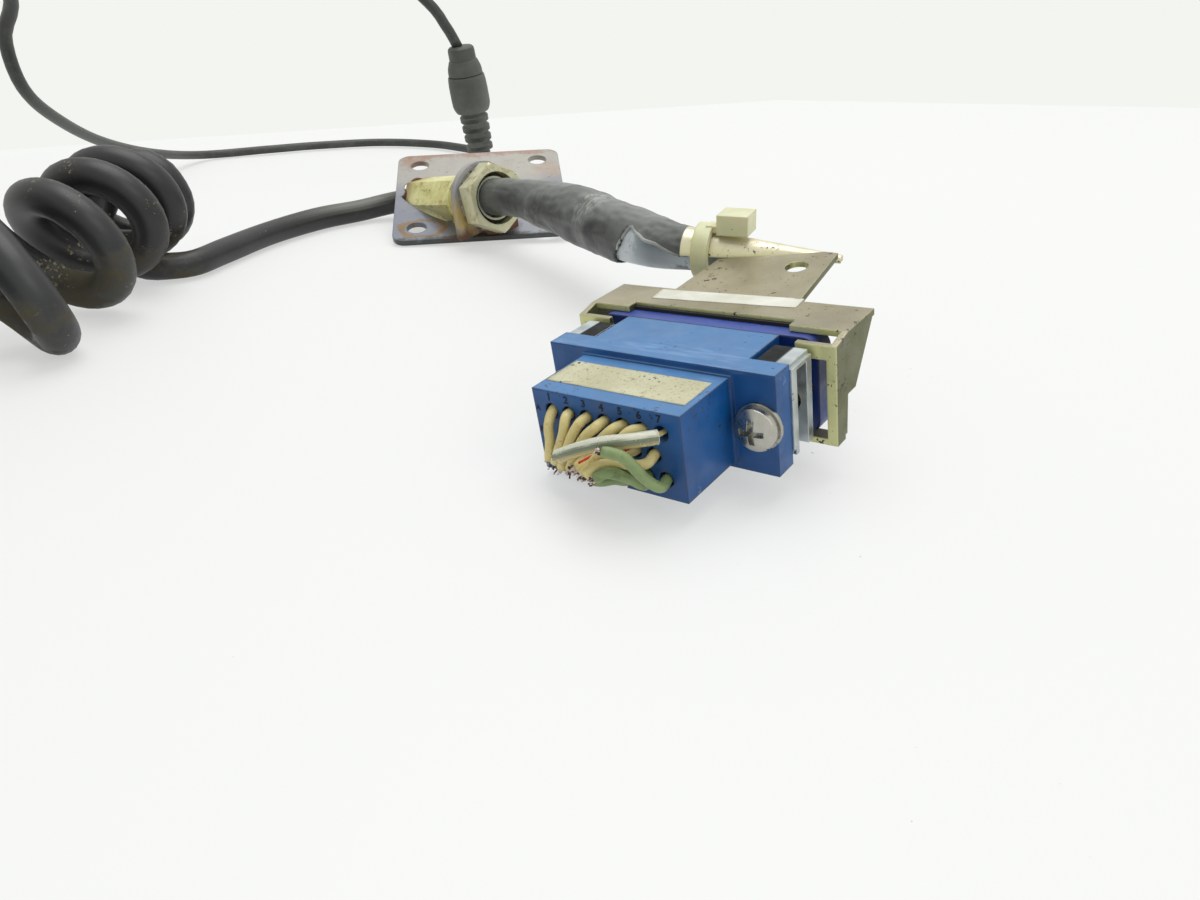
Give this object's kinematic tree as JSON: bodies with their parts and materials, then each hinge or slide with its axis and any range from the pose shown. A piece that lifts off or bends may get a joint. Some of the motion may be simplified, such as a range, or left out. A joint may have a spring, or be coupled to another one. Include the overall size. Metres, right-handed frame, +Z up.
{
  "type": "pulse generator handwheel",
  "caption": "Hand-held dial pendant with a curly cord through a holed plate and gland to a blue hooded multi-way connector with cut wires, plus a thin lead.",
  "frame": {"origin": "bottom centre of the box round everything but the free cords, on the table", "axes": "+Z up from the table, +X to the right and +Y away from the viewer who faces the connector's wire side"},
  "size_m": [0.3144, 0.2793, 0.0873],
  "materials": {
    "connector_blue": "moulded blue plastic, slightly dirty",
    "contact_metal": "plated brass",
    "label": "blank off-white adhesive label",
    "zinc": "bright zinc plated",
    "wire_cream": "cream wire insulation",
    "wire_striped": "cream wire insulation with a red stripe",
    "wire_green": "pale green wire insulation",
    "wire_sleeve": "clear sleeve over a tinned strand",
    "chromate_steel": "yellow chromate over zinc, stained",
    "nylon": "natural nylon",
    "sheath_grey": "dark grey heat-shrink skin, creased",
    "jacket_blue_grey": "smooth blue-grey jacket",
    "plate_steel": "plated steel with rust patches",
    "gland_yellow": "yellow chromate steel",
    "washer_dark": "dull toothed steel",
    "cord_black": "matte black jacket, dusty",
    "moulded_black": "moulded black",
    "housing_grey": "fine textured light grey",
    "housing_dark": "fine textured grey",
    "screw_steel": "plain steel",
    "magnet_metal": "nickel plated",
    "scale_aluminium": "satin anodised",
    "disc_steel": "etched",
    "dial_black": "black moulded",
    "stop_red": "red moulded",
    "stop_yellow": "yellow moulded",
    "lamp_green": "clear tinted lens",
    "board_green": "solder resist"
  },
  "bodies": {
    "base": {"rear_connector_body": "connector_blue", "rear_contacts": "contact_metal", "insert_nuts": "contact_metal", "hood_bracket": "chromate_steel", "hood_saddle": "chromate_steel", "hood_label": "label", "inner_cable": "jacket_blue_grey", "sheath": "sheath_grey", "cable_tie": "nylon", "mounting_plate": "plate_steel", "gland_lug": "plate_steel", "gland_body": "gland_yellow", "gland_lock_nut": "gland_yellow", "gland_lock_washer": "washer_dark", "cord_tail": "cord_black", "cord_coil": "cord_black", "cord_lead_in": "cord_black", "thin_cord_near": "cord_black", "thin_cord_far": "cord_black", "coupling_socket": "moulded_black", "coupling_plug": "moulded_black", "thin_end_plug": "moulded_black", "pendant_front_shell": "housing_grey", "pendant_rear_shell": "housing_dark", "housing_screws": "screw_steel", "magnets": "magnet_metal", "scale_ring": "scale_aluminium", "encoder_bush": "contact_metal", "encoder_body": "dial_black", "selector_switches": "dial_black", "selector_plates": "scale_aluminium", "stop_collar": "stop_yellow", "stop_switch": "dial_black", "status_lamp": "lamp_green", "circuit_board": "board_green", "cord_gland": "moulded_black", "lead_bush": "moulded_black"},
    "front_connector": {"front_connector_body": "connector_blue", "front_contacts": "contact_metal", "nose_label": "label", "screw_washers": "zinc", "lock_brackets": "zinc", "wires_cream": "wire_cream", "wire_red_stripe": "wire_striped", "wires_green": "wire_green", "wire_sleeved": "wire_sleeve"},
    "dial": {"dial_wheel": "dial_black", "dial_cap": "scale_aluminium", "dial_shaft": "screw_steel", "encoder_disc": "disc_steel", "crank_pin": "screw_steel"},
    "jackscrew_left": {"jackscrew_left": "zinc"},
    "jackscrew_right": {"jackscrew_right": "zinc"},
    "crank_knob": {"crank_knob": "dial_black"},
    "axis_knob": {"axis_knob": "dial_black"},
    "step_knob": {"step_knob": "dial_black"},
    "stop_button": {"stop_button": "stop_red"},
    "enable_button_left": {"enable_button_left": "dial_black"},
    "enable_button_right": {"enable_button_right": "dial_black"}
  },
  "joints": [
    {"name": "connector_unplug", "type": "slide", "parent": "base", "child": "front_connector", "axis": [-0.5992, -0.7961, -0.0851], "range_m": [0, 0.008]},
    {"name": "jackscrew_left_turn", "type": "hinge", "parent": "front_connector", "child": "jackscrew_left", "pos_m": [0.11896, -0.04077, 0.00667], "axis": [0.5992, 0.7961, 0.0851], "continuous": true},
    {"name": "jackscrew_right_turn", "type": "hinge", "parent": "front_connector", "child": "jackscrew_right", "pos_m": [0.14103, -0.05771, 0.00981], "axis": [0.5992, 0.7961, 0.0851], "continuous": true},
    {"name": "dial_turn", "type": "hinge", "parent": "base", "child": "dial", "pos_m": [-0.11017, -0.04903, 0.04], "axis": [0, 0, 1], "continuous": true},
    {"name": "crank_knob_turn", "type": "hinge", "parent": "dial", "child": "crank_knob", "pos_m": [-0.08817, -0.04903, 0.052], "axis": [0, 0, 1], "continuous": true},
    {"name": "axis_knob_turn", "type": "hinge", "parent": "base", "child": "axis_knob", "pos_m": [-0.05617, -0.07003, 0.04], "axis": [0, 0, 1], "range_deg": [-60, 60]},
    {"name": "step_knob_turn", "type": "hinge", "parent": "base", "child": "step_knob", "pos_m": [-0.05617, -0.02803, 0.04], "axis": [0, 0, 1], "range_deg": [-45, 45]},
    {"name": "stop_button_press", "type": "slide", "parent": "base", "child": "stop_button", "axis": [0, 0, -1], "range_m": [0, 0.004], "stiffness_N_per_m": 600, "springref_m": -0.004},
    {"name": "enable_left_press", "type": "slide", "parent": "base", "child": "enable_button_left", "axis": [0, -1, 0], "range_m": [0, 0.0025], "stiffness_N_per_m": 800, "springref_m": -0.002},
    {"name": "enable_right_press", "type": "slide", "parent": "base", "child": "enable_button_right", "axis": [0, 1, 0], "range_m": [0, 0.0025], "stiffness_N_per_m": 800, "springref_m": -0.002}
  ]
}
